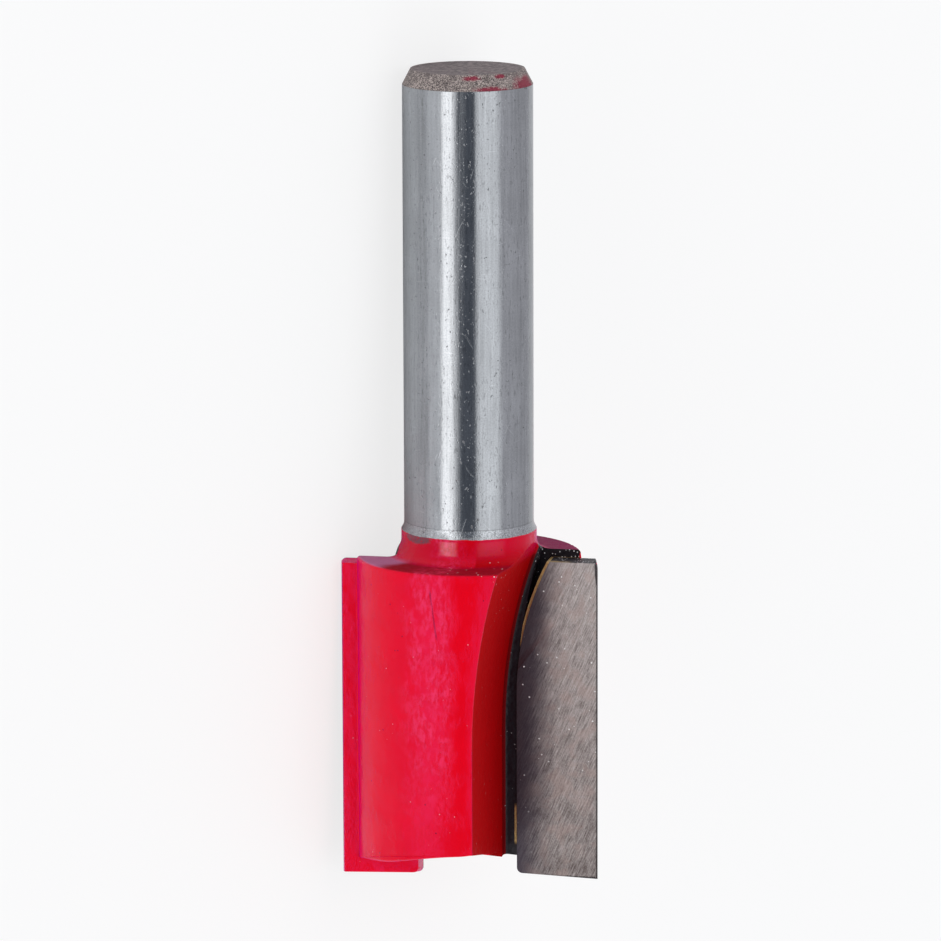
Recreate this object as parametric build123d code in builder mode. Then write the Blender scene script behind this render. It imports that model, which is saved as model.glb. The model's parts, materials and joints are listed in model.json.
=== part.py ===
from build123d import *
import os
from math import acos, atan2, cos, degrees, radians, sin, sqrt, tan

os.makedirs("parts", exist_ok=True)

# A straight router bit with two flutes: a steel body turned in one piece, and
# two carbide tips brazed into seats milled in its flutes. Millimetres.

# Shank and neck
shank_diameter = 8.0
shank_length = 28.5  # from its foot to its end face
end_chamfer_width = 0.5
end_chamfer_length = 0.95
foot_length = 0.5  # where the ground shank swells into the neck
neck_diameter = 8.36
neck_length = 1.6  # from the shoulder to the foot of the shank
neck_fillet = 1.0

# Steel body of the cutter
body_diameter = 13.9
shoulder_rounding = 0.2
flute_root_offset = 2.05  # from the spindle to a flute's wall, beside the tip
flute_heel_offset = 1.4  # the same at the wall's other side, the heel
flute_root_radius = 0.3
run_out_radius = 32.0  # of the flute's wall, beside the tip
heel_run_out_radius = 43.0
run_out_start = 9.5  # height where the wall starts to curve away
ledge_setback = 0.1  # steel beside the tip lies this far behind its face
seat_run_out_radius = 45.0  # of the disc cutter that mills the seat
seat_run_out_start = 9.0
body_end_relief_angle = 12.4
body_end_dish_angle = 4.0

# Carbide tips and their braze
cutting_diameter = 16.0
cutting_length = 20.0
hook_angle = 2.6
side_relief_angle = 12.0
end_relief_angle = 12.0
end_dish_angle = 2.0  # the end edges rise toward the spindle
tip_width = 5.1
tip_thickness = 1.6
tip_corner_radius = 0.35
tip_curve_radius = 18.5
tip_curve_start = 11.5  # height where the tip's inner edge starts to curve
tip_top_gap = 0.5  # from the tips' top to the shoulder
tip_overhang = 1.35  # tips stand out past the steel at the cutting end
braze_thickness = 0.1  # behind the tip
braze_side_width = 0.16  # along the tip's inner edge

# Heights along the spindle, from the cutting end
shoulder_height = cutting_length + tip_top_gap
foot_height = shoulder_height + neck_length
overall_length = foot_height + shank_length

shank_radius = shank_diameter / 2
neck_radius = neck_diameter / 2
body_radius = body_diameter / 2
cutting_radius = cutting_diameter / 2
clear_of_steel = body_diameter  # how far the milling cuts reach past the steel

# Cutting face of the first tip. Seen along the spindle its cutting edge lies
# on the X axis, and the hook angle turns the face about that edge. On the
# face x runs outward from the spindle and y runs toward the shank.
outward = Vector(cos(radians(hook_angle)), -sin(radians(hook_angle)), 0)
ahead = outward.cross(Vector(0, 0, 1))
edge_reach = cutting_radius * cos(radians(hook_angle))
face_setback = cutting_radius * sin(radians(hook_angle))
face = Plane(ahead * -face_setback, x_dir=outward, z_dir=ahead)
across = Plane(face.origin, x_dir=outward, z_dir=(0, 0, 1))

tip_root = edge_reach - tip_width
seat_root = tip_root - braze_side_width
seat_depth = tip_thickness + braze_thickness
side_slope = tan(radians(side_relief_angle + hook_angle))
flank_reach = edge_reach - tip_thickness * side_slope  # at the back of the tip


def run_out(radius, rise):
    """Distance outward after rising along an arc that starts upright."""
    return radius - sqrt(radius**2 - rise**2)


def curved_inner_edge(root, start, radius, bottom, top, outer):
    """Outline whose inner edge rises straight, then curves outward."""
    top_root = root + run_out(radius, top - start)
    with BuildLine() as outline:
        Line((root, bottom), (root, start))
        TangentArc((root, start), (top_root, top), tangent=(0, 1))
        Polyline((top_root, top), (outer, top), (outer, bottom), (root, bottom))
    return outline.line


# Gullet of one flute. Its wall leans away from the tip, and more so where it
# runs out, so it is spread between its outlines at the ledge and at the heel.
heel_distance = body_radius + face_setback
run_out_rise = sqrt(run_out_radius**2 - (run_out_radius - body_radius + flute_root_offset) ** 2)
with BuildPart() as gullet:
    for distance, offset, radius in (
        (-ledge_setback, flute_root_offset, run_out_radius),
        (heel_distance, flute_heel_offset, heel_run_out_radius),
    ):
        with BuildSketch(face.offset(distance)):
            add(
                curved_inner_edge(
                    offset,
                    run_out_start,
                    radius,
                    -clear_of_steel,
                    run_out_start + run_out_rise,
                    clear_of_steel,
                )
            )
            make_face()
    loft(ruled=True)
    ledge = gullet.faces().sort_by(Axis(face.origin, ahead))[0]
    fillet(ledge.edges().sort_by(Axis(face.origin, outward))[:2], flute_root_radius)

# Seat of one tip, open at the shoulder, at the side and at the cutting end
with BuildPart() as seat:
    with BuildSketch(face.offset(-seat_depth)):
        add(
            curved_inner_edge(
                seat_root,
                seat_run_out_start,
                seat_run_out_radius,
                -clear_of_steel,
                foot_height,
                clear_of_steel,
            )
        )
        make_face()
    extrude(amount=seat_depth)

# Clearance under one wing of the body. It rises behind the tip, and from the
# outside toward the spindle, from a corner beside the back of the tip.
end_dish = tan(radians(body_end_dish_angle))
end_rise = tan(radians(body_end_relief_angle))
end_height = tip_overhang + body_radius * end_dish - (face_setback + seat_depth) * end_rise
with BuildPart() as end_clearance:
    with BuildSketch(Plane((0, 0, 0), x_dir=outward, z_dir=ahead)):
        with BuildLine():
            Polyline(
                (-clear_of_steel, end_height + clear_of_steel * end_dish),
                (clear_of_steel, end_height - clear_of_steel * end_dish),
                (clear_of_steel, -clear_of_steel),
                (-clear_of_steel, -clear_of_steel),
                close=True,
            )
        make_face()
    extrude(amount=clear_of_steel, dir=Vector(0, 0, end_rise) - ahead)

# Body: turned in one piece, then milled for both wings
with BuildPart() as milled_body:
    with BuildSketch(Plane.XZ) as profile:
        with BuildLine():
            Polyline(
                (0, 0),
                (body_radius, 0),
                (body_radius, shoulder_height),
                (neck_radius, shoulder_height),
                (neck_radius, foot_height),
            )
            TangentArc(
                (shank_radius, foot_height + foot_length),
                (neck_radius, foot_height),
                tangent=(0, -1),
            )
            Polyline(
                (shank_radius, foot_height + foot_length),
                (shank_radius, overall_length - end_chamfer_length),
                (shank_radius - end_chamfer_width, overall_length),
                (0, overall_length),
                (0, 0),
            )
        make_face()
        neck_corner = (neck_radius, shoulder_height)
        fillet(profile.vertices().sort_by_distance(neck_corner)[0], neck_fillet)
        shoulder_corner = (body_radius, shoulder_height)
        fillet(profile.vertices().sort_by_distance(shoulder_corner)[0], shoulder_rounding)
    revolve(axis=Axis.Z)
    with PolarLocations(0, 2):
        add(gullet.part, mode=Mode.SUBTRACT)
        add(seat.part, mode=Mode.SUBTRACT)
        add(end_clearance.part, mode=Mode.SUBTRACT)

# Carbide tip: its front view, cut to its section and to its end face
end_edge = Vector(0, 0, tan(radians(end_dish_angle))) - outward
end_flank = Vector(0, 0, tan(radians(end_relief_angle))) - ahead
with BuildPart() as tip:
    with BuildSketch(face) as front_view:
        add(
            curved_inner_edge(
                tip_root, tip_curve_start, tip_curve_radius, 0, cutting_length, edge_reach
            )
        )
        make_face()
        corners = front_view.vertices()
        fillet(corners.sort_by_distance((edge_reach, cutting_length))[0], tip_corner_radius)
    extrude(amount=-tip_thickness)
    with BuildSketch(across):
        with BuildLine():
            Polyline(
                (tip_root, 0),
                (edge_reach, 0),
                (flank_reach, tip_thickness),
                (tip_root, tip_thickness),
                close=True,
            )
        make_face()
    extrude(amount=cutting_length, mode=Mode.INTERSECT)
    split(bisect_by=Plane((cutting_radius, 0, 0), z_dir=end_flank.cross(end_edge)))
    root_rise = tip_width * end_edge.Z + tip_thickness / 2 * end_flank.Z
    root_corner = face.from_local_coords((tip_root, root_rise, -tip_thickness / 2))
    fillet(tip.edges().sort_by_distance(root_corner)[0], tip_corner_radius)

# Braze: fills the seat behind the tip and beside its inner edge
with BuildPart() as braze:
    with BuildSketch(across):
        with Locations((seat_root, ledge_setback)):
            Rectangle(flank_reach - seat_root, seat_depth - ledge_setback, align=Align.MIN)
        with Locations((0, -face_setback)):
            Circle(body_radius, mode=Mode.INTERSECT)
    extrude(amount=cutting_length)
    with BuildSketch(face.offset(-seat_depth)):
        add(
            curved_inner_edge(
                seat_root,
                tip_curve_start,
                tip_curve_radius + braze_side_width,
                0,
                cutting_length,
                cutting_radius,
            )
        )
        make_face()
    extrude(amount=seat_depth, mode=Mode.INTERSECT)
    add(seat.part, mode=Mode.INTERSECT)
    add(end_clearance.part, mode=Mode.SUBTRACT)
    add(tip.part, mode=Mode.SUBTRACT)

# Rest: the bit lies with its cutting end toward +X, on the top of the second tip's
# cutting edge, on the first wing's heel below the shoulder, and on the shank's far
# rim. Seen along the spindle, `down` is the angle from the first cutting edge.
heel_height = shoulder_height - shoulder_rounding
heel_reach = flute_heel_offset + run_out(heel_run_out_radius, heel_height - run_out_start)
heel_angle = degrees(acos(-heel_reach / body_radius)) - hook_angle
near_heel = Vector(body_radius, 0, heel_height).rotate(Axis.Z, heel_angle)
heel = milled_body.vertices().sort_by_distance(near_heel)[0]
edge_top = cutting_length - tip_corner_radius
rim_height = overall_length - end_chamfer_length
lever = (rim_height - heel_height) / (rim_height - edge_top)
reach = Vector(heel.X + cutting_radius * lever, heel.Y)
down = atan2(reach.Y, reach.X) + acos(shank_radius * (1 - lever) / reach.length)
cutter_drop = -cutting_radius * cos(down)  # spindle to the cutting edge
pitch = atan2(cutter_drop - shank_radius, rim_height - edge_top)
toward_shank = Vector(-1, 0, 0).rotate(Axis.Y, -degrees(pitch))
first_edge = Vector(0, 1, 0).rotate(Axis.X, degrees(down) - 90).rotate(Axis.Y, -degrees(pitch))
end_centre_height = cutter_drop * cos(pitch) + edge_top * sin(pitch)
end_centre = Vector(overall_length / 2 * cos(pitch), 0, end_centre_height)
spindle = Plane(end_centre, x_dir=first_edge, z_dir=toward_shank)

with BuildPart(spindle) as body:
    add(milled_body.part)
body.part.label = "body"
export_step(body.part, "parts/body.step")

for number, turn in ((1, 0), (2, 180)):
    with BuildPart(spindle) as carbide_tip:
        with Locations(Rotation(0, 0, turn)):
            add(tip.part)
    carbide_tip.part.label = f"carbide_tip_{number}"
    export_step(carbide_tip.part, f"parts/carbide_tip_{number}.step")

    with BuildPart(spindle) as braze_seam:
        with Locations(Rotation(0, 0, turn)):
            add(braze.part)
    braze_seam.part.label = f"braze_seam_{number}"
    export_step(braze_seam.part, f"parts/braze_seam_{number}.step")
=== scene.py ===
"""A router bit as it lies on a pale surface, dressed around its fixed solids."""

import json
from functools import reduce
from math import cos, degrees, radians, sin, tan

import bpy
from mathutils import Matrix, Vector


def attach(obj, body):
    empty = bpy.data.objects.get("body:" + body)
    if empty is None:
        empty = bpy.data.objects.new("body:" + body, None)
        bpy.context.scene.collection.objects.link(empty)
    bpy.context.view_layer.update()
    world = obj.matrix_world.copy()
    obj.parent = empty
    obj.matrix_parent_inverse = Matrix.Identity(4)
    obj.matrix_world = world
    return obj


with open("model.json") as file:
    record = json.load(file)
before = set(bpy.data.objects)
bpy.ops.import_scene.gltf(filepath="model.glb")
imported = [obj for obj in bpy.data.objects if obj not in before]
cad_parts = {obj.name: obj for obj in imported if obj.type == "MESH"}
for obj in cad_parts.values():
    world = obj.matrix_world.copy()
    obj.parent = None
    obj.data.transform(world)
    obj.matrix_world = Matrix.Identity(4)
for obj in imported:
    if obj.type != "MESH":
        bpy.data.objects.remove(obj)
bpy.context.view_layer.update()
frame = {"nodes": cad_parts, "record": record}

MM = 0.001

# ------------------------------------------------ sizes, in millimetres and degrees
# Heights run up the spindle from the cutting end. Reaches run from the spindle out
# along a cutting face. Planes lie behind the spindle, seen from a cutting face.
HOOK_ANGLE = 2.6
FACE_PLANE = 0.363
LEDGE_PLANE = 0.463
SEAT_PLANE = 2.063
TIP_TOP = 20.0
SHOULDER_HEIGHT = 20.5
FOOT_HEIGHT = 22.1  # where the enamel ends and the bare shank starts
FOOT_BAND = 0.55  # height of the rough band at the shank's foot
OVERALL_LENGTH = 50.6
CHAMFER_LENGTH = 0.95
SHANK_RADIUS = 4.0
END_FACE_RADIUS = 3.5
FLAT_START = 4.9  # radius where the neck's fillet has become the shoulder's flat
BODY_RADIUS = 6.95
BODY_BOTTOM = 1.35  # lowest point of the body's own end
BODY_DISH = 4.0
BODY_END_RELIEF = 12.4
FLUTE_BOTTOM = 1.25  # least height and reach of the dull enamel in a flute
FLUTE_ROOT_REACH = 1.25
EDGE_REACH = 7.992  # cutting edge
LEDGE_REACH = 2.08  # bare steel beside a tip
LEDGE_CURVE_START = 9.5
LEDGE_CURVE_RADIUS = 32.0
CREASE_REACH = 6.62  # crease between a tip's back and the body
CREASE_PLANE = 2.0
BURNT_CORNER_HEIGHT = 18.9  # where the burnt top corner of a tip starts
BURNT_CORNER_REACH = 7.6

BODY_SOFTNESS = 0.07  # rounding of sharp edges by paint and by handling
TIP_SOFTNESS = 0.04
SHARP_ANGLE = 28.0  # least turn of the surface at an edge that gets rounded
WELD_REACH = 0.001

BEAD_SIDES = 10  # facets round a bead of enamel
BEAD_STEPS = 48
BEAD_STUB = 0.4  # steps by which a bead's end falls short of a point
ROLL_START = 18.0  # angles behind the cutting face, along the body's bottom edge
ROLL_END = 101.0
ROLL_MIDDLE = 58.0
ROLL_SPREAD = 34.0
CREASE_BOTTOM = 1.6
CREASE_TOP = 20.3

# --------------------------------------------- colours, as linear red, green and blue
# A pair holds the two colours that a mottled finish runs between.
WHITE = (1.0, 1.0, 1.0)
PAPER = (0.9, 0.9, 0.9)
STEEL = (0.335, 0.345, 0.36)
CHAMFER = (0.085, 0.068, 0.068), (0.66, 0.57, 0.53)
END_FACE = (0.085, 0.068, 0.072), (0.3, 0.245, 0.245)
OVERSPRAY = (0.12, 0.006, 0.024), (0.34, 0.012, 0.045)
ENAMEL = (0.69, 0.0006, 0.003), (0.8, 0.001, 0.006)
# Painted shade: darker reds in the flutes, deepest at their roots, and on the neck.
FLUTE_PAINTED_SHADE = (0.44, 0.0002, 0.002), (0.29, 0.0002, 0.001)  # by the heel, by the root
ROOT_PAINTED_SHADE = (0.12, 0.001, 0.002)
NECK_PAINTED_SHADE = (0.46, 0.0002, 0.001)
# Painted reflections on the shoulders' flats: dark in the middle, crimson to the right,
# pink to the left.
FLAT_PAINTED_DARK_REFLECTION = (0.31, 0.004, 0.014)
FLAT_PAINTED_CRIMSON_REFLECTION = (0.27, 0.014, 0.085)
FLAT_PAINTED_PINK_REFLECTION = (0.48, 0.16, 0.3)
CHIPPED_ENAMEL = (0.75, 0.6, 0.62)
SCRATCHED_ENAMEL = (0.22, 0.0005, 0.008)
# Pale pink flecks of painted highlight, in the band where the enamel's highlight falls.
PAINTED_HIGHLIGHT_FLECKS = (0.86, 0.045, 0.13)
WORN_ENAMEL = (0.12, 0.075, 0.075)
PINHOLE = (0.03, 0.002, 0.004)
ENAMEL_GLOSS = (0.5, 0.15, 0.8)
ENAMEL_SHEEN = (1.0, 0.0, 0.55)
SCALE = (0.003, 0.002, 0.004), (0.018, 0.013, 0.018)
GRIT_ON_SCALE = (0.8, 0.8, 0.8)
CARBIDE = (0.11, 0.085, 0.08), (0.5, 0.455, 0.44)
WARM_CARBIDE = (0.27, 0.17, 0.145)
# Painted shade along the inner edge of a cutting face.
PAINTED_SHADE_CARBIDE = (0.035, 0.026, 0.042)
# Darker along the cutting and bottom edges of a tip.
DARK_EDGE_CARBIDE = (0.012, 0.009, 0.012)
GRIT_ON_CARBIDE = (0.85, 0.85, 0.85)
BRASS = (0.3, 0.18, 0.06), (0.75, 0.52, 0.22)

# ------------------------------------------------------------------- places of marks
# Angles run round the spindle from 0 toward the camera, and grow to the right. An edge
# is where it lies and how softly it fades, and a band is its two edges.
# The shank's colour holds painted light by angle: a painted pale reflection on the left,
# painted shade on the right and a painted glint.
SHANK_PAINTED_PALE_LEFT = (-50.0, 8.0)
SHANK_PAINTED_SHADE_RIGHT = (48.0, 8.0)
SHANK_GLINT = (-38.0, 3.0), (-25.0, 2.0)
SHANK_SCRATCHES = (24.0, 0.6), (-38.0, 0.5), (84.0, 0.7)  # lean, and spread along it
# Edges of the painted crimson and pink reflections on the shoulders' flats.
FLAT_LEFT = (-52.0, 7.0)
FLAT_RIGHT = (55.0, 6.0)
# Band of angles on the body where the enamel's highlight falls.
HIGHLIGHT_BAND_ANGLES = (-34.0, 8.0), (-9.0, 5.0)
LONG_SCRATCH_START = (-20.2, 19.2)  # angle and height
LONG_SCRATCH_SLANT = 1.3  # degrees round the spindle for each millimetre down
LONG_SCRATCH_HEIGHTS = (16.5, 0.3), (19.4, 0.2)
POOL_HEIGHTS = (21.1, 0.06), (21.95, 0.06)
POOL_ANGLES = (-26.0, 2.0), (-10.0, 2.0)
FAINT_POOL_ANGLES = (6.0, 3.0), (31.0, 3.0)

# A patch is its middle and its reach, both by angle and height.
WORN_PATCH = (-50.0, 21.95), (15.0, 0.34)
CRUMBLY_PATCHES = ((19.0, 20.2), (6.0, 0.6)), ((0.0, 20.4), (18.0, 0.2))
OVERSPRAY_PATCHES = (
    ((22.0, 49.68), (15.0, 0.2)),
    ((64.0, 49.85), (17.0, 0.42)),
    ((4.0, 50.4), (8.0, 0.14)),
    ((33.0, 50.45), (5.0, 0.12)),
    ((150.0, 50.0), (30.0, 0.3)),
)

# Grinding marks on the cutting faces: lean, fineness across them and weight.
GRINDING_MARKS = (23.0, 11.0, 0.4), (19.0, 22.0, 0.35), (30.0, 16.0, 0.25)
GRINDING_STRETCH = 0.055

# ------------------------------------------------------------------ camera and studio
EDGE_TOWARD_CAMERA = 8.3  # how far the first cutting edge turns to the camera
CAMERA_ELEVATION = 10.76  # above the plane across the spindle
CAMERA_DISTANCE = 391.6
CAMERA_AIM_HEIGHT = 25.66
CAMERA_AIM_SIDE = 0.1
CAMERA_LENS = 243.2
CAMERA_ROLL = 0.19
CAMERA_CLIP_START = 0.01  # metres

# Soft boxes and dark gaps around the spindle: angle, brightness and tint.
STUDIO_BANDS = (
    (-180, 0.9, (1.0, 1.0, 1.0)),
    (-62, 0.9, (1.0, 1.0, 1.0)),
    (-56, 2.5, (1.0, 1.0, 1.0)),
    (-32, 2.5, (1.0, 1.0, 1.0)),
    (-16, 0.17, (0.85, 0.95, 1.15)),
    (12, 0.17, (0.85, 0.95, 1.15)),
    (15, 1.25, (0.98, 1.0, 1.02)),
    (30, 1.55, (0.98, 1.0, 1.02)),
    (52, 1.45, (0.98, 1.0, 1.02)),
    (62, 0.75, (0.98, 0.98, 1.04)),
    (180, 0.75, (0.98, 0.98, 1.04)),
)
BRIGHTEST = 2.5
END_BRIGHTNESS = 0.8  # past both ends of the spindle
FLOOR_REACH = 1.5  # metres
FLOOR_WHITENESS = 0.75  # how much of the floor shows as plain white, over its shadows


# -------------------------------------------------------------- the bit's own axes
def mesh_points(node):
    """Points of a solid, in metres in the shared frame."""
    solid = frame["nodes"][node]
    return [solid.matrix_world @ vertex.co for vertex in solid.data.vertices]


def spindle_axes():
    """Cutting end's centre, and axes to the first edge, behind it and up the shank."""
    shank = frame["record"]["mounts"][0]
    up = Vector(shank["axis"]).normalized()
    on_axis = Vector(shank["pos_m"])

    def radial(point):
        return (point - on_axis) - (point - on_axis).project(up)

    tip_points = mesh_points("carbide_tip_1")
    out = radial(max(tip_points, key=lambda point: radial(point).length)).normalized()
    lowest = min((point - on_axis).dot(up) for point in tip_points)
    return on_axis + up * lowest, out, up.cross(out), up


end_centre, edge_out, edge_behind, toward_shank = spindle_axes()


def axis_at(angle):
    """Axis out from the spindle at an angle from the first cutting edge."""
    return edge_out * cos(radians(angle)) + edge_behind * sin(radians(angle))


view_right = axis_at(EDGE_TOWARD_CAMERA)
view_away = axis_at(EDGE_TOWARD_CAMERA + 90)
face_out = axis_at(-HOOK_ANGLE)
face_behind = axis_at(90 - HOOK_ANGLE)


# ------------------------------------------------------------- shader expressions
class Wire:
    """A number or colour on its way through a shader, which takes part in sums."""

    def __init__(self, tree, socket):
        self.tree = tree
        self.socket = socket

    def __add__(self, other):
        return self.tree.maths("ADD", self, other)

    __radd__ = __add__

    def __sub__(self, other):
        return self.tree.maths("SUBTRACT", self, other)

    def __rsub__(self, other):
        return self.tree.maths("SUBTRACT", other, self)

    def __mul__(self, other):
        return self.tree.maths("MULTIPLY", self, other)

    __rmul__ = __mul__

    def __truediv__(self, other):
        return self.tree.maths("DIVIDE", self, other)

    def __pow__(self, other):
        return self.tree.maths("POWER", self, other)

    def __abs__(self):
        return self.tree.maths("ABSOLUTE", self)

    def at_least(self, other):
        return self.tree.maths("MAXIMUM", self, other)

    def at_most(self, other):
        return self.tree.maths("MINIMUM", self, other)

    def clamped(self):
        return self.at_least(0.0).at_most(1.0)

    def above(self, edge, softness):
        """1 where this value is well above the edge, 0 well below, smooth between."""
        settings = {"interpolation_type": "SMOOTHSTEP"}
        ends = {"From Min": edge - softness, "From Max": edge + softness}
        return self.tree.add("ShaderNodeMapRange", settings, {"Value": self, **ends})

    def below(self, edge, softness):
        return 1 - self.above(edge, softness)

    def between(self, lower, upper):
        """1 inside a band, which is given by its lower and its upper edge."""
        return self.above(*lower) * self.below(*upper)


class Tree:
    """Nodes of one material or of the world."""

    def __init__(self, owner):
        owner.use_nodes = True
        self.nodes = owner.node_tree.nodes
        self.links = owner.node_tree.links
        self.nodes.clear()

    def add(self, kind, settings, inputs, output=0):
        """Make a node of a kind, set it up, feed its sockets, and hand on one output."""
        node = self.nodes.new(kind)
        for name, value in settings.items():
            if name == "stops":
                self.set_stops(node.color_ramp, value)
            else:
                setattr(node, name, value)
        for name, value in inputs.items():
            self.feed(node.inputs[name], value)
        return Wire(self, node.outputs[output]) if node.outputs else None

    def feed(self, socket, value):
        """Link a wire to a socket, or set the socket to a number, vector or colour."""
        if isinstance(value, Wire):
            self.links.new(value.socket, socket)
        elif socket.type == "RGBA":
            socket.default_value = (*value, 1.0)
        else:
            socket.default_value = value

    def set_stops(self, ramp, stops):
        """Give a ramp at least two stops, each a position and a colour."""
        for position, _ in stops[2:]:
            ramp.elements.new(position)
        for element, (position, colour) in zip(ramp.elements, sorted(stops)):
            element.position = position
            element.color = (*colour, 1.0)

    # numbers
    def maths(self, operation, *values):
        inputs = dict(enumerate(values))
        return self.add("ShaderNodeMath", {"operation": operation}, inputs)

    def angle_round(self, right, away):
        """Angle round the spindle, in degrees, from 0 toward the camera."""
        return self.maths("ARCTAN2", right, away * -1.0) * degrees(1.0)

    # vectors
    def vector(self, x, y, z):
        return self.add("ShaderNodeCombineXYZ", {}, {0: x, 1: y, 2: z})

    def vector_maths(self, operation, inputs, output=0):
        return self.add("ShaderNodeVectorMath", {"operation": operation}, inputs, output)

    def along(self, spot, axis):
        """How far a spot lies along an axis."""
        return self.vector_maths("DOT_PRODUCT", {0: spot, 1: axis}, "Value")

    def shift(self, spot, step):
        return self.vector_maths("ADD", {0: spot, 1: step})

    def leaning(self, spot, lean):
        """Distances across and along lines that lean from upright, in degrees."""
        lean = radians(lean)
        across = self.along(spot, (cos(lean), -sin(lean), 0.0))
        return across, self.along(spot, (sin(lean), cos(lean), 0.0))

    # patterns
    def noise(self, spot, scale, detail=3.0, roughness=0.5, stretch=None):
        """Noise, finer by the stretch's factors along each axis."""
        if stretch:
            spot = self.vector_maths("MULTIPLY", {0: spot, 1: stretch})
        inputs = {"Vector": spot, "Scale": scale, "Detail": detail}
        inputs["Roughness"] = roughness
        return self.add("ShaderNodeTexNoise", {}, inputs)

    def rings(self, distance, scale, detail):
        """Noise that changes with one distance only."""
        return self.noise(self.vector(distance, 0.0, 0.0), scale, detail)

    def specks(self, spot, scale, size):
        """Small round dots scattered over the surface."""
        inputs = {"Vector": spot, "Scale": scale}
        distance = self.add("ShaderNodeTexVoronoi", {}, inputs, output="Distance")
        return distance.below(size, size / 3)

    # colours
    def mix(self, factor, low, high):
        """Blend two colours."""
        inputs = {"Factor": factor, 6: low, 7: high}
        return self.add("ShaderNodeMix", {"data_type": "RGBA"}, inputs, output=2)

    def tint(self, level, colour):
        """A colour made darker or brighter by a level."""
        return self.vector_maths("SCALE", {0: colour, "Scale": level})

    # shaders
    def bump(self, relief):
        """Normals of a relief given in millimetres."""
        inputs = {"Height": relief, "Strength": 1.0, "Distance": MM}
        return self.add("ShaderNodeBump", {}, inputs)

    def principled(self, values):
        return self.add("ShaderNodeBsdfPrincipled", {}, values)

    def blend(self, factor, low, high):
        """Blend two shaders."""
        return self.add("ShaderNodeMixShader", {}, {0: factor, 1: low, 2: high})

    def lit(self, kind, colour, strength):
        """Shader of a background or of a glowing surface."""
        return self.add(kind, {}, {"Color": colour, "Strength": strength})

    def rays(self, kind):
        """1 for one kind of ray, such as the camera's own."""
        return self.add("ShaderNodeLightPath", {}, {}, output=kind)

    def output(self, shader, kind="ShaderNodeOutputMaterial"):
        self.add(kind, {}, {"Surface": shader})


class Place:
    """Where a point of the bit's surface lies, in millimetres, as shader values."""

    def __init__(self, tree):
        spot = tree.add("ShaderNodeTexCoord", {}, {}, output="Object")
        from_end = tree.vector_maths("SUBTRACT", {0: spot, 1: end_centre})
        self.spot = tree.vector_maths("SCALE", {0: from_end, "Scale": 1 / MM})
        self.height = tree.along(self.spot, toward_shank)
        right = tree.along(self.spot, view_right)
        away = tree.along(self.spot, view_away)
        self.radius = (right * right + away * away) ** 0.5
        self.angle = tree.angle_round(right, away)
        round_shank = self.angle * radians(SHANK_RADIUS)
        self.wrapped = tree.vector(round_shank, self.height, self.radius)
        self.side = tree.along(self.spot, face_out)
        self.out = abs(self.side)
        self.behind = tree.along(self.spot, face_behind) * tree.maths("SIGN", self.side)
        self.on_neck = self.height.above(SHOULDER_HEIGHT + 0.02, 0.03)
        over_shoulder = self.height.above(SHOULDER_HEIGHT - 0.06, 0.05)
        self.on_flat = over_shoulder * self.radius.above(FLAT_START, 0.3)

    def near(self, middle, reach):
        """Distance from the middle of an oval patch, 1 at its rim."""
        angle = (self.angle - middle[0]) / reach[0]
        height = (self.height - middle[1]) / reach[1]
        return (angle * angle + height * height) ** 0.5


# ----------------------------------------------------------------------- bare steel
def shank_scratches(tree, place):
    """Hairline scratches that lean three ways."""
    bent = 0.5 * tree.noise(place.wrapped, 0.6, detail=1.0)
    scratches = []
    for lean, spread in SHANK_SCRATCHES:
        across, along = tree.leaning(place.wrapped, lean)
        line = tree.vector((across + bent) * 9.0, along * spread, lean)
        scratches.append(tree.noise(line, 1.0, detail=0.0).above(0.815, 0.02) * 0.7)
    return sum(scratches)


def ground_steel(tree, place):
    """Colour, roughness and relief of the ground shank and its rough foot; its colour
    holds a painted pale reflection on the left, painted shade on the right and a painted
    glint.
    """
    wrapped = place.wrapped
    streaks = tree.noise(wrapped, 1.0, detail=4.0, stretch=(5.0, 0.22, 1.0))
    turning = tree.noise(wrapped, 1.0, stretch=(0.25, 10.0, 1.0))
    grain = tree.noise(wrapped, 9.0, roughness=0.7)
    cloud = tree.noise(wrapped, 0.5, detail=2.0)
    dashes = tree.noise(wrapped, 1.3, stretch=(7.0, 1.6, 1.0)).above(0.62, 0.03)
    dashes = dashes * cloud.above(0.42, 0.1)
    nicks = tree.specks(wrapped, 4.2, 0.16) * cloud.above(0.45, 0.1)
    pits = tree.noise(wrapped, 2.4, stretch=(2.0, 1.3, 1.0)).above(0.7, 0.02)
    scratches = shank_scratches(tree, place)
    foot = place.height.below(FOOT_HEIGHT + FOOT_BAND, 0.06)
    ring = tree.rings(place.height, 6.0, detail=2.0) * foot
    pebbles = tree.noise(place.spot, 12.0, detail=2.0, roughness=0.8) * foot

    level = 0.97 + 0.6 * (streaks - 0.47) + 0.5 * (grain - 0.5) + 0.3 * (cloud - 0.5)
    # Painted light by angle: a paler painted reflection on the left, painted shade on the
    # right, and a painted glint.
    level = level + 0.22 * place.angle.below(*SHANK_PAINTED_PALE_LEFT)
    level = level - 0.12 * place.angle.above(*SHANK_PAINTED_SHADE_RIGHT)
    level = level + 0.25 * place.angle.between(*SHANK_GLINT)
    level = level - 0.4 * pits - 0.25 * dashes + 0.2 * scratches
    level = level + foot * (2.4 * (pebbles - 0.5) + 0.3 * ring)
    roughness = 0.13 + 0.12 * (streaks - 0.4) + 0.2 * pits + 0.06 * foot
    relief = 0.003 * streaks + 0.0012 * turning + 0.0026 * grain
    relief = relief + 0.004 * ring + 0.008 * pebbles
    relief = relief - 0.01 * pits - 0.004 * nicks - 0.003 * scratches
    return tree.tint(level, STEEL), roughness, relief


def overspray(place, coarse, grit):
    """1 in the ragged red patches at the shank's free end."""
    nearest = reduce(Wire.at_most, [place.near(*patch) for patch in OVERSPRAY_PATCHES])
    ragged = nearest + 1.6 * (coarse - 0.5) + 2.4 * (grit - 0.5)
    return ragged.below(1.05, 0.25)


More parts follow.
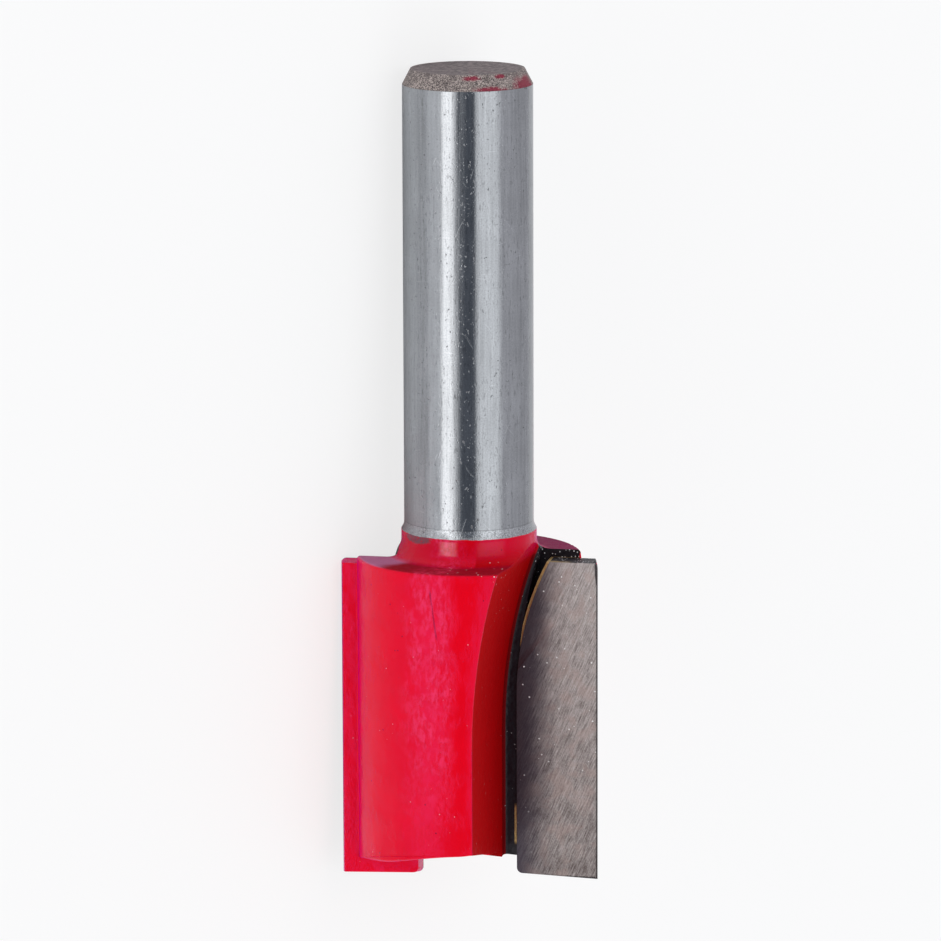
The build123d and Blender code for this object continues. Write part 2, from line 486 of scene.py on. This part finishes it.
def rough_end(tree, place):
    """Colour, roughness, relief and overspray of the rough chamfer and end face."""
    grit = tree.noise(place.spot, 15.0, detail=2.0, roughness=0.8)
    coarse = tree.noise(place.spot, 2.0)
    mottle = tree.noise(
        place.spot, 1.0, detail=4.0, roughness=0.7, stretch=(5.0, 2.5, 5.0)
    )
    rings = tree.rings(place.radius, 5.0, detail=4.0)
    face = (place.radius + 0.7 * (coarse - 0.5)).below(END_FACE_RADIUS - 0.1, 0.2)
    bright = grit.above(0.52, 0.09) * (0.8 + 1.2 * (coarse - 0.5)) * (1 - 0.6 * face)
    chamfer = tree.mix(bright.clamped(), *CHAMFER)
    dull = tree.mix(mottle.above(0.5, 0.13), *END_FACE)
    colour = tree.mix(face * (0.6 + 0.4 * rings), chamfer, dull)
    sprayed = overspray(place, coarse, grit)
    red = tree.mix(grit.above(0.5, 0.2), *OVERSPRAY)
    colour = tree.mix(sprayed * 0.95, colour, red)
    relief = (0.05 * grit + 0.04 * coarse) * (1 - 0.6 * face) + 0.02 * rings * face
    return colour, 0.6 + 0.2 * grit, relief, sprayed


def bare_steel(tree, place):
    """Shader of the shank, its foot and its rough end."""
    colour, roughness, relief = ground_steel(tree, place)
    end_colour, end_roughness, end_relief, sprayed = rough_end(tree, place)
    at_end = place.height.above(OVERALL_LENGTH - CHAMFER_LENGTH, 0.02)
    return tree.principled(
        {
            "Base Color": tree.mix(at_end, colour, end_colour),
            "Metallic": 1 - 0.45 * at_end - 0.5 * sprayed * at_end,
            "Roughness": roughness + at_end * (end_roughness - roughness),
            "Normal": tree.bump(relief * (1 - at_end) + end_relief * at_end),
        }
    )


# ----------------------------------------------------------------------- red enamel
def clean_enamel(tree, place, cloud, in_flute, at_root):
    """Red, with painted shade in the flutes and on the neck, and painted reflections on
    the shoulders' flats.
    """
    colour = tree.mix(cloud, *ENAMEL)
    # Painted shade: darker in the flutes toward their roots, and on the neck.
    flute = tree.mix(place.behind.above(-2.8, 4.0), *FLUTE_PAINTED_SHADE)
    colour = tree.mix(in_flute, colour, tree.mix(at_root, flute, ROOT_PAINTED_SHADE))
    colour = tree.mix(place.on_neck * 0.45, colour, NECK_PAINTED_SHADE)
    aside = place.angle + 14.0 * (cloud - 0.5)
    # Painted reflections on the flats, by angle round the spindle.
    flat = tree.mix(aside.above(*FLAT_RIGHT), FLAT_PAINTED_DARK_REFLECTION, FLAT_PAINTED_CRIMSON_REFLECTION)
    flat = tree.mix(aside.below(*FLAT_LEFT), flat, FLAT_PAINTED_PINK_REFLECTION)
    return tree.mix(place.on_flat, colour, flat)


def enamel_crumbs(tree, place):
    """Pale crumbs by the heel's top corner and along the shoulder."""
    patches = sum(place.near(*patch).below(1.0, 0.3) for patch in CRUMBLY_PATCHES)
    return tree.specks(place.spot, 2.7, 0.12) * patches


def long_scratch(place, cloud):
    """One long slanting scratch on the body."""
    angle, height = LONG_SCRATCH_START
    aside = place.angle - angle - LONG_SCRATCH_SLANT * (height - place.height)
    line = abs(aside + 1.5 * (cloud - 0.5)).below(0.45, 0.25)
    return line * place.height.between(*LONG_SCRATCH_HEIGHTS)


def used_enamel(tree, place, in_flute, at_root):
    """Colour and normals of the enamel with its chips, scratches, scuffed patches and
    wear, and painted highlight flecks.
    """
    cloud = tree.noise(place.spot, 0.45)
    grain = tree.noise(place.spot, 9.0, detail=2.0)
    waves = tree.noise(place.spot, 0.75)
    scuffed = tree.noise(place.spot, 0.8, detail=2.0).above(0.5, 0.1)
    chips = tree.specks(place.spot, 1.9, 0.05) * scuffed * (1 - place.on_neck)
    chips = chips.at_least(enamel_crumbs(tree, place))
    pinholes = tree.specks(tree.shift(place.spot, (7.0, 3.0, 1.0)), 1.1, 0.045)
    # Painted highlight: pink flecks in the band where the highlight falls; the same
    # flecks and the scuffed patches also raise the relief.
    highlight_band = place.angle.between(*HIGHLIGHT_BAND_ANGLES) * place.height.above(7.0, 5.0)
    highlight_band_spots = tree.noise(place.spot, 1.6, detail=2.0).above(0.42, 0.12)
    scuffs_and_glints = tree.noise(
        place.spot, 1.0, detail=5.0, roughness=0.65, stretch=(1.6, 3.4, 3.4)
    )
    scuffs_and_glints = scuffs_and_glints.above(0.5, 0.13) * (scuffed + highlight_band * highlight_band_spots)
    worn = place.near(*WORN_PATCH) + 0.9 * (cloud + grain - 1.0)
    worn = worn.below(1.0, 0.12) * grain.above(0.35, 0.2)

    colour = clean_enamel(tree, place, cloud, in_flute, at_root)
    for mark, marked in (
        (chips, CHIPPED_ENAMEL),
        (long_scratch(place, cloud) * 0.75, SCRATCHED_ENAMEL),
        (pinholes * 0.8, PINHOLE),
        # painted highlight flecks
        (scuffs_and_glints * highlight_band * 0.3, PAINTED_HIGHLIGHT_FLECKS),
        (worn * 0.9, WORN_ENAMEL),
    ):
        colour = tree.mix(mark, colour, marked)
    relief = 0.09 * waves + 0.012 * scuffs_and_glints + 0.02 * chips - 0.02 * pinholes - 0.01 * worn
    return colour, tree.bump(relief)


def red_enamel(tree, place):
    """Shader of the enamel: glossy, but dull in the flutes and on the flats, whose colour
    holds painted shade and painted reflections.
    """
    inside = (place.radius - BODY_RADIUS).below(-0.12, 0.05)
    inside = inside * place.height.below(21.0, 0.8)
    in_flute = place.behind.below(LEDGE_PLANE + 0.03, 0.03) * inside
    in_flute = in_flute * place.height.above(FLUTE_BOTTOM, 0.05)
    in_flute = in_flute * place.out.above(FLUTE_ROOT_REACH, 0.04)
    at_root = place.behind.above(0.1, 0.15) * in_flute
    colour, normal = used_enamel(tree, place, in_flute, at_root)
    pooled = place.angle.between(*POOL_ANGLES)
    pooled = pooled + 0.3 * place.angle.between(*FAINT_POOL_ANGLES)
    glossy = tree.principled(
        {
            "Base Color": colour,
            "Roughness": 0.24,
            "Specular IOR Level": 0.4,
            "Specular Tint": ENAMEL_GLOSS,
            "Sheen Weight": 0.7,
            "Sheen Roughness": 0.35,
            "Sheen Tint": ENAMEL_SHEEN,
            "Coat Weight": pooled * place.height.between(*POOL_HEIGHTS),
            "Coat Roughness": 0.12,
            "Normal": normal,
        }
    )
    dull = tree.principled(
        {
            "Base Color": colour,
            "Roughness": 0.5,
            "Specular IOR Level": 0.03,
            "Normal": normal,
        }
    )
    return tree.blend(in_flute.at_least(place.on_flat), glossy, dull)


# ---------------------------------------------------------- scale, carbide and braze
def black_scale(tree, place):
    """Shader of scale and burnt flux beside and above the tips, dusted with grit."""
    dusty = tree.noise(place.spot, 0.7).above(0.42, 0.1) * place.height.above(9.0, 6.0)
    dust = tree.specks(place.spot, 2.6, 0.1) * dusty
    above_tips = place.height.above(TIP_TOP - 0.1, 0.1) * place.radius.above(3.4, 0.3)
    dust = dust.at_least(tree.specks(place.spot, 4.4, 0.2) * above_tips)
    crust = tree.noise(place.spot, 2.2, detail=4.0)
    return tree.principled(
        {
            "Base Color": tree.mix(dust, tree.mix(crust, *SCALE), GRIT_ON_SCALE),
            "Roughness": 0.3 + 0.25 * crust,
            "Specular IOR Level": 0.2,
            "Normal": tree.bump(0.1 * crust + 0.03 * dust),
        }
    )


def grinding_marks(tree, place):
    """Fine slanting strokes across a cutting face."""
    face = tree.vector(place.out, place.height, 0.0)
    marks = []
    for lean, fineness, weight in GRINDING_MARKS:
        across, along = tree.leaning(face, lean)
        along = along * fineness * GRINDING_STRETCH
        strokes = tree.vector(across * fineness, along, fineness)
        marks.append(weight * tree.noise(strokes, 1.0, roughness=0.65))
    return sum(marks)


def ground_carbide(tree, place):
    """Shader of the cutting face: brown-grey carbide, with painted shade along its inner
    edge.
    """
    marks = grinding_marks(tree, place)
    grain = tree.noise(place.spot, 8.0, roughness=0.7)
    cloud = tree.noise(place.spot, 0.55, detail=4.0)
    patches = tree.noise(tree.shift(place.spot, (3.0, 5.0, 9.0)), 1.1, detail=4.0)
    level = 0.5 + 3.2 * (marks - 0.5) + 0.8 * (grain - 0.5) + 0.8 * (patches - 0.5)
    level = level + 0.02 * (place.height - TIP_TOP / 2)
    colour = tree.mix(level.clamped(), *CARBIDE)
    colour = tree.mix(patches.above(0.55, 0.1) * 0.35, colour, WARM_CARBIDE)
    # Painted shade: darker along the inner edge, beside the flute wall.
    painted_shade = place.out + 0.045 * (TIP_TOP - place.height)
    painted_shade = painted_shade + 1.5 * (cloud - 0.5) + 0.5 * (marks - 0.5)
    colour = tree.mix(painted_shade.below(5.0, 1.2) * 0.88, colour, PAINTED_SHADE_CARBIDE)
    # Darker along the cutting edge, most near the top, and along the bottom edge.
    edge = place.out + 0.1 * (grain - 0.5)
    edge = edge + 0.25 * place.height.above(BURNT_CORNER_HEIGHT, 0.4) * cloud
    low = (place.height + 0.2 * (grain - 0.5)).below(0.12, 0.05)
    dark_edges = edge.above(EDGE_REACH - 0.09, 0.03).at_least(low)
    colour = tree.mix(dark_edges * 0.9, colour, DARK_EDGE_CARBIDE)
    dust = tree.specks(place.spot, 1.7, 0.085) * place.height.above(7.0, 8.0)
    return tree.principled(
        {
            "Base Color": tree.mix(dust, colour, GRIT_ON_CARBIDE),
            "Metallic": 0.75 * (1 - dust),
            "Roughness": 0.42,
            "Normal": tree.bump(0.006 * marks + 0.02 * dust - 0.02 * dark_edges),
        }
    )


def brass(tree, place, brightness):
    """Shader of bare braze, mottled."""
    grain = tree.noise(place.spot, 7.0, detail=2.0)
    return tree.principled(
        {
            "Base Color": tree.tint(brightness, tree.mix(grain, *BRASS)),
            "Metallic": 0.8,
            "Roughness": 0.35 + 0.2 * grain,
            "Normal": tree.bump(0.04 * grain),
        }
    )


# ---------------------------------------------------------------- the pieces' finishes
def body_coat(tree, place):
    """Enamel up to the shank's foot, and scale on the bare steel round the tips."""
    wobble = tree.noise(place.spot, 1.2, detail=2.0) - 0.5
    rise = (place.height - LEDGE_CURVE_START).at_least(0.0)
    curve = LEDGE_CURVE_RADIUS - (LEDGE_CURVE_RADIUS**2 - rise * rise) ** 0.5
    bare = (place.out - curve + 0.2 * wobble).above(LEDGE_REACH, 0.04)
    ragged = place.behind + 0.5 * wobble * place.height.above(SHOULDER_HEIGHT + 0.1, 0.1)
    bare = bare * ragged.below(SEAT_PLANE + 0.03, 0.03)
    bare = bare * place.behind.above(LEDGE_PLANE - 0.04, 0.02)
    bare = bare * (place.out + 0.5 * wobble).below(CREASE_REACH, 0.05)
    painted = (place.height + 0.12 * wobble).below(FOOT_HEIGHT, 0.025)
    coated = tree.blend(bare, red_enamel(tree, place), black_scale(tree, place))
    return tree.blend(painted, bare_steel(tree, place), coated)


def tip_coat(tree, place):
    """Ground carbide on the cutting face, enamel on the back, and a burnt top."""
    painted = place.behind.above(FACE_PLANE + 0.06, 0.03)
    top = place.height.above(TIP_TOP - 0.06, 0.02)
    corner = place.height.above(BURNT_CORNER_HEIGHT, 0.1)
    corner = corner * place.out.above(BURNT_CORNER_REACH, 0.1)
    corner = corner * place.behind.below(0.7, 0.1)
    burnt = top.at_least(corner) * place.side.above(0.0, 0.1)
    coated = tree.blend(burnt, red_enamel(tree, place), black_scale(tree, place))
    rough = tree.noise(place.spot, 3.0)
    smear = (place.behind + 1.2 * (rough - 0.5)).below(0.75, 0.1) * burnt
    smear = smear * place.out.below(6.1, 0.4)
    coated = tree.blend(smear, coated, brass(tree, place, 0.75))
    return tree.blend(painted, ground_carbide(tree, place), coated)


def braze_coat(tree, place):
    """Bright brass where the seam curves away at the top and low down, else scale."""
    cloud = 3.5 * (tree.noise(place.spot, 1.3) - 0.5)
    upper = (place.height + 0.6 * cloud).above(14.8, 0.4)
    lower = (place.height + 0.3 * cloud).below(4.4, 0.3)
    lower = lower * place.height.above(2.1, 0.2)
    clean = upper.at_least(lower * 0.8)
    return tree.blend(clean, black_scale(tree, place), brass(tree, place, 1.0))


def finish(name, coat):
    """A material whose shader comes from a function of its nodes and of the place."""
    material = bpy.data.materials.new(name)
    tree = Tree(material)
    tree.output(coat(tree, Place(tree)))
    return material


def dress(node, material, softness):
    """Give a fixed solid its finish, and round its sharp edges by a width in mm."""
    solid = frame["nodes"][node]
    for slot in solid.material_slots:
        slot.material = material
    if softness:
        weld = solid.modifiers.new("joined_faces", "WELD")
        weld.merge_threshold = WELD_REACH * MM
        soft = solid.modifiers.new("soft_edges", "BEVEL")
        soft.width = softness * MM
        soft.segments = 2
        soft.limit_method = "ANGLE"
        soft.angle_limit = radians(SHARP_ANGLE)
        soft.harden_normals = True


# ------------------------------------------------------------ thick beads of enamel
def bead(name, line, beside, material):
    """A closed, tapering bead; its line is a list of centres and radii, in mm."""
    centres = [end_centre + centre * MM for centre, _ in line]
    points, faces = [], []
    for index, (_, radius) in enumerate(line):
        last = min(index + 1, len(line) - 1)
        ahead = (centres[last] - centres[max(index - 1, 0)]).normalized()
        across = ahead.cross(beside).normalized()
        upward = across.cross(ahead)
        for side in range(BEAD_SIDES):
            turn = radians(360 * side / BEAD_SIDES)
            rim = across * cos(turn) + upward * sin(turn)
            points.append(centres[index] + rim * radius * MM)
    for start in range(0, len(points) - BEAD_SIDES, BEAD_SIDES):
        for side in range(BEAD_SIDES):
            near, far = start + side, start + (side + 1) % BEAD_SIDES
            faces.append((near, near + BEAD_SIDES, far + BEAD_SIDES, far))
    faces.append(tuple(range(BEAD_SIDES)))
    faces.append(tuple(reversed(range(len(points) - BEAD_SIDES, len(points)))))
    mesh = bpy.data.meshes.new(name)
    mesh.from_pydata(points, [], faces)
    mesh.polygons.foreach_set("use_smooth", [True] * len(faces))
    mesh.materials.append(material)
    piece = bpy.data.objects.new(name, mesh)
    bpy.context.collection.objects.link(piece)
    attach(piece, "root")


def tapered(step, run):
    """Share of a bead's thickness at a step; both its ends taper over a run of steps."""
    from_end = min(max(step, BEAD_STUB), BEAD_STEPS + BEAD_STUB - step)
    return sin(radians(180 * min(from_end / run, 0.5)))


def on_wing(wing, out, behind, height):
    """A point given on the first wing, carried half round when the wing is -1."""
    return (face_out * out + face_behind * behind) * wing + toward_shank * height


def bottom_bead(name, wing, material):
    """Roll of enamel that hangs along the bottom edge of the body, thickest halfway."""
    line = []
    for step in range(BEAD_STEPS + 1):
        angle = ROLL_START + (ROLL_END - ROLL_START) * step / BEAD_STEPS
        turn = radians(angle)
        out, behind = BODY_RADIUS * cos(turn), BODY_RADIUS * sin(turn)
        height = BODY_BOTTOM + (BODY_RADIUS - out) * tan(radians(BODY_DISH))
        height += (behind - SEAT_PLANE) * tan(radians(BODY_END_RELIEF))
        from_middle = min(abs(angle - ROLL_MIDDLE) / ROLL_SPREAD, 1.0)
        thick = cos(radians(90 * from_middle)) ** 2 + 0.05 * sin(radians(9 * angle))
        inward = 1 - 0.05 / BODY_RADIUS
        centre = on_wing(wing, out * inward, behind * inward, height - 0.09 * thick)
        line.append((centre, (0.055 + 0.11 * thick) * tapered(step, 8)))
    bead(name, line, toward_shank, material)


def crease_bead(name, wing, material):
    """Enamel that fills the crease between a tip's back and the body."""
    line = []
    for step in range(BEAD_STEPS + 1):
        height = CREASE_BOTTOM + (CREASE_TOP - CREASE_BOTTOM) * step / BEAD_STEPS
        radius = 0.13 + 0.015 * sin(height * 1.9) + 0.01 * sin(height * 5.3)
        centre = on_wing(wing, CREASE_REACH, CREASE_PLANE, height)
        line.append((centre, radius * tapered(step, 6)))
    bead(name, line, face_out, material)


# -------------------------------------------------------- studio, floor and camera
def light_studio():
    world = bpy.data.worlds.new("studio")
    bpy.context.scene.world = world
    tree = Tree(world)
    toward = tree.add("ShaderNodeTexCoord", {}, {}, output="Generated")
    right = tree.along(toward, view_right)
    away = tree.along(toward, view_away)
    turn = tree.angle_round(right, away) / 360.0 + 0.5
    stops = [
        ((angle + 180) / 360, tuple(brightness * part / BRIGHTEST for part in tint))
        for angle, brightness, tint in STUDIO_BANDS
    ]
    bands = tree.add("ShaderNodeValToRGB", {"stops": stops}, {"Fac": turn})
    at_ends = abs(tree.along(toward, toward_shank)).above(0.8, 0.12)
    colour = tree.mix(at_ends, bands, (END_BRIGHTNESS / BRIGHTEST,) * 3)
    studio = tree.lit("ShaderNodeBackground", colour, BRIGHTEST)
    backdrop = tree.lit("ShaderNodeBackground", WHITE, 1.0)
    shown = tree.blend(tree.rays("Is Camera Ray"), studio, backdrop)
    tree.output(shown, "ShaderNodeOutputWorld")


def lay_floor():
    mesh = bpy.data.meshes.new("floor")
    turns = ((-1, -1), (1, -1), (1, 1), (-1, 1))
    corners = [(x * FLOOR_REACH, y * FLOOR_REACH, 0) for x, y in turns]
    mesh.from_pydata(corners, [], [(0, 1, 2, 3)])
    floor = bpy.data.objects.new("floor", mesh)
    bpy.context.collection.objects.link(floor)
    material = bpy.data.materials.new("pale_floor")
    tree = Tree(material)
    paper = tree.principled(
        {"Base Color": PAPER, "Roughness": 0.9, "Specular IOR Level": 0.0}
    )
    white = tree.lit("ShaderNodeEmission", WHITE, 1.0)
    shown = tree.rays("Is Camera Ray").at_least(tree.rays("Is Transmission Ray"))
    tree.output(tree.blend(shown * FLOOR_WHITENESS, paper, white))
    mesh.materials.append(material)


def make_camera():
    elevation = radians(CAMERA_ELEVATION)
    roll = radians(CAMERA_ROLL)
    back = toward_shank * sin(elevation) - view_away * cos(elevation)
    upright = back.cross(view_right)
    right = view_right * cos(roll) - upright * sin(roll)
    up = view_right * sin(roll) + upright * cos(roll)
    aim_height = toward_shank * CAMERA_AIM_HEIGHT * MM
    aim_side = view_right * CAMERA_AIM_SIDE * MM
    eye = end_centre + aim_height + aim_side + back * CAMERA_DISTANCE * MM
    turn = Matrix((right, up, back)).transposed().to_4x4()
    camera = bpy.data.objects.new("camera", bpy.data.cameras.new("camera"))
    camera.data.lens = CAMERA_LENS
    camera.data.clip_start = CAMERA_CLIP_START
    camera.matrix_world = Matrix.Translation(eye) @ turn
    bpy.context.collection.objects.link(camera)
    bpy.context.scene.camera = camera


carbide = finish("tipped_carbide", tip_coat)
braze = finish("braze_bead", braze_coat)
enamel = finish("enamel_bead", red_enamel)
dress("body", finish("enamelled_steel", body_coat), BODY_SOFTNESS)
for number, wing in ((1, 1.0), (2, -1.0)):
    dress(f"carbide_tip_{number}", carbide, TIP_SOFTNESS)
    dress(f"braze_seam_{number}", braze, 0.0)
    bottom_bead(f"bottom_bead_{number}", wing, enamel)
    crease_bead(f"crease_bead_{number}", wing, enamel)

light_studio()
lay_floor()
make_camera()
bpy.context.scene.view_settings.view_transform = "Standard"
